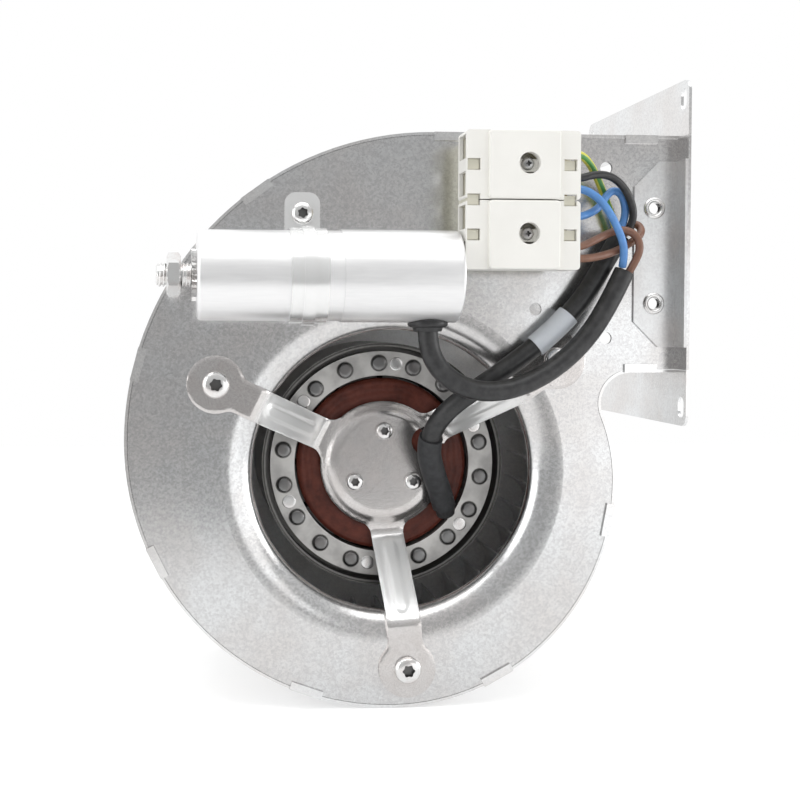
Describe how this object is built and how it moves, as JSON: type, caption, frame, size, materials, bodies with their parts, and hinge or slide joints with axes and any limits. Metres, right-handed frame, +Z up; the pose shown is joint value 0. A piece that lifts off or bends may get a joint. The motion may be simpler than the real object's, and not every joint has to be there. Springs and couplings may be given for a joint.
{
  "type": "centrifugal fan",
  "caption": "Single-inlet centrifugal fan with forward-curved impeller, external-rotor motor in the inlet, run capacitor, terminal blocks and a slotted outlet flange.",
  "frame": {"origin": "centre of the outlet flange's opening, on the flange's mating face", "axes": "+X is the way the air leaves, square to the flange; +Z is up, as in the picture; the inlet faces -Y and the fan's axis is along Y"},
  "size_m": [0.197, 0.129, 0.2217],
  "materials": {
    "galvanised": "satin",
    "zinc_plated": "satin",
    "lamination": "matte",
    "cast_aluminium": "satin",
    "can_aluminium": "satin",
    "winding": "gloss",
    "sintered_bronze": "matte",
    "felt": "matte",
    "ground_steel": "satin",
    "clear_cap": "gloss",
    "black_rubber": "satin",
    "clear_sleeve": "gloss",
    "cover_white": "satin",
    "brass": "satin",
    "earth_green_yellow": "satin",
    "blue_insulation": "satin",
    "brown_insulation": "satin"
  },
  "bodies": {
    "housing": {"inlet_plate": "galvanised", "rear_plate": "galvanised", "scroll_strip": "galvanised", "front_stiffener": "galvanised", "rear_stiffener": "galvanised", "front_hollow_rivets": "galvanised", "rear_hollow_rivets": "galvanised", "motor_bracket": "zinc_plated", "bracket_screws": "zinc_plated", "bracket_nuts": "zinc_plated", "hub_screws": "zinc_plated", "capacitor_stud": "zinc_plated", "stud_nut": "zinc_plated", "stud_washer": "zinc_plated", "capacitor_clamp": "zinc_plated", "clamp_screw": "zinc_plated", "clamp_nut": "zinc_plated", "terminal_screws": "zinc_plated", "stator_core": "lamination", "stator_flange": "cast_aluminium", "capacitor_can": "can_aluminium", "stator_winding": "winding", "front_bearing": "sintered_bronze", "rear_bearing": "sintered_bronze", "felt_ring": "felt", "capacitor_cap": "clear_cap", "cap_grommet": "black_rubber", "motor_lead_boot": "black_rubber", "motor_lead": "black_rubber", "capacitor_lead": "black_rubber", "black_wire": "black_rubber", "lead_sleeve": "clear_sleeve", "upper_terminal_cover": "cover_white", "lower_terminal_cover": "cover_white", "terminal_base": "cover_white", "terminal_clamps": "brass", "earth_wire": "earth_green_yellow", "blue_wire_1": "blue_insulation", "blue_wire_2": "blue_insulation", "brown_wire_1": "brown_insulation", "brown_wire_2": "brown_insulation"},
    "impeller": {"rotor_cup": "zinc_plated", "rotor_core": "lamination", "rotor_cage": "cast_aluminium", "shaft": "ground_steel", "shaft_circlip": "ground_steel", "thrust_washers": "ground_steel", "impeller_backplate": "galvanised", "impeller_blades": "galvanised", "impeller_front_ring": "galvanised", "impeller_rivets": "galvanised"}
  },
  "joints": [
    {"name": "impeller_spin", "type": "hinge", "parent": "housing", "child": "impeller", "pos_m": [-0.1025, 0, -0.0771], "axis": [0, 1, 0], "continuous": true}
  ]
}
